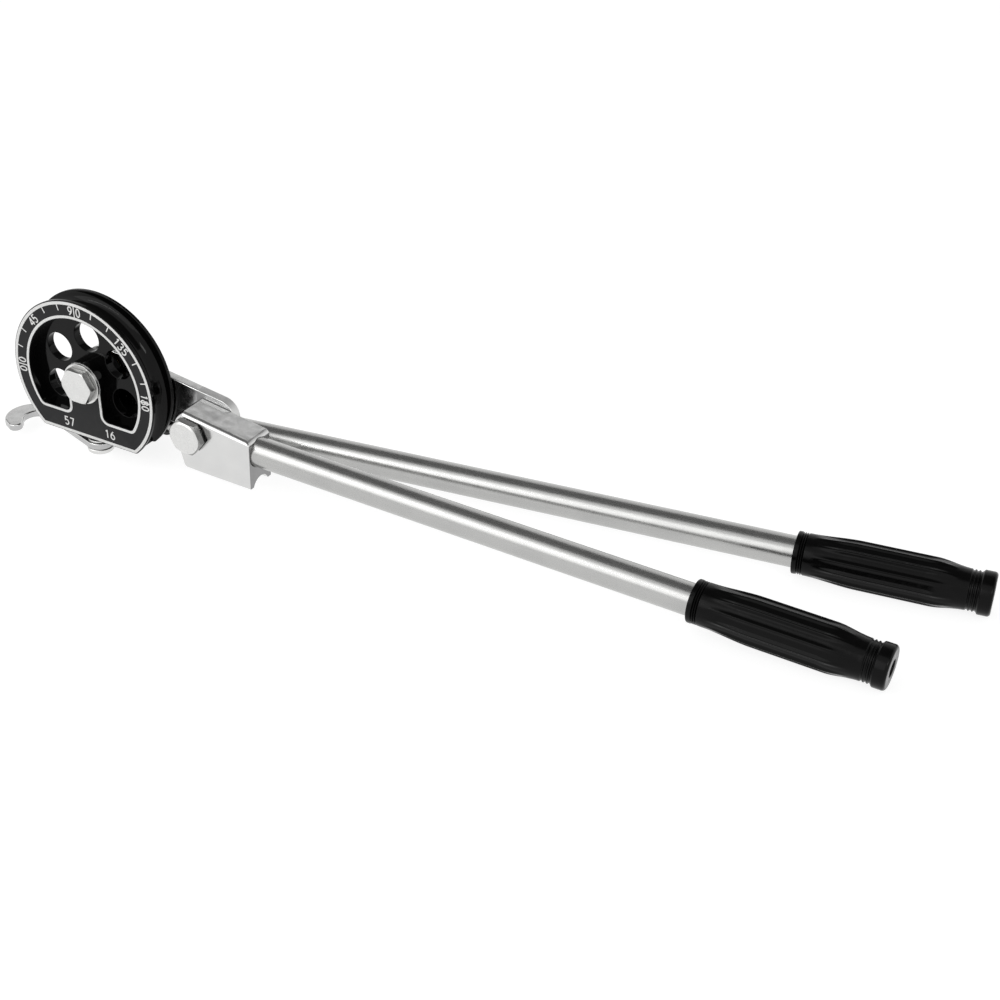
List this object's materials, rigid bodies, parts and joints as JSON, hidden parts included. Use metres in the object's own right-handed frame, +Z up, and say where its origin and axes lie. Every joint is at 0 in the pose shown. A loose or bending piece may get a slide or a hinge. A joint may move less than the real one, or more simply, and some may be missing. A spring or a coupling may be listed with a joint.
{
  "type": "tube bender",
  "caption": "Lever tube bender: grooved forming wheel with a degree face, swinging link and forming shoe, tube latch and two long handles with fluted grips.",
  "frame": {"origin": "middle of the bounding box at floor level; the tool lies as pictured, on the latch screw's head and both grips", "axes": "+X along the handles towards the grips, +Y back from the degree face, +Z up; the wheel's axle is along Y"},
  "size_m": [0.649, 0.123, 0.1127],
  "materials": {
    "wheel_paint": "semi-gloss black enamel over a casting",
    "bright_plating": "bright nickel plating",
    "satin_tube": "satin nickel plating with fine lengthwise grain",
    "zinc_fasteners": "bright zinc plating",
    "bearing_bronze": "machined bearing bronze",
    "spring_steel": "dark tempered spring steel",
    "grip_rubber": "satin black moulded rubber"
  },
  "bodies": {
    "form": {"former_wheel": "wheel_paint", "center_bolt": "zinc_fasteners", "center_washer_front": "zinc_fasteners", "hub_sleeve": "bearing_bronze", "link_thrust_washer": "bearing_bronze", "center_washer_back": "zinc_fasteners", "center_nut": "zinc_fasteners", "latch_screw": "zinc_fasteners", "latch_washer": "zinc_fasteners", "form_handle_tube": "satin_tube", "form_handle_pin": "spring_steel", "form_grip": "grip_rubber"},
    "latch": {"latch_hook": "bright_plating"},
    "link": {"link_plate": "bright_plating", "link_bush": "bearing_bronze", "pivot_bolt": "zinc_fasteners", "pivot_nut": "zinc_fasteners"},
    "shoe": {"shoe_block": "bright_plating", "pivot_sleeve": "bearing_bronze", "pivot_washer": "bearing_bronze", "shoe_handle_tube": "satin_tube", "shoe_handle_pin": "spring_steel", "shoe_grip": "grip_rubber"}
  },
  "joints": [
    {"name": "link_swing", "type": "hinge", "parent": "form", "child": "link", "pos_m": [-0.24411, -0.02856, 0.05577], "axis": [0, -1, 0], "range_deg": [0, 190]},
    {"name": "shoe_pivot", "type": "hinge", "parent": "link", "child": "shoe", "pos_m": [-0.159, -0.04326, 0.04087], "axis": [0, 1, 0], "range_deg": [0, 100]},
    {"name": "latch_swing", "type": "hinge", "parent": "form", "child": "latch", "pos_m": [-0.24791, -0.04226, 0.00617], "axis": [0.0363, 0, 0.9993], "range_deg": [-90, 90]}
  ]
}
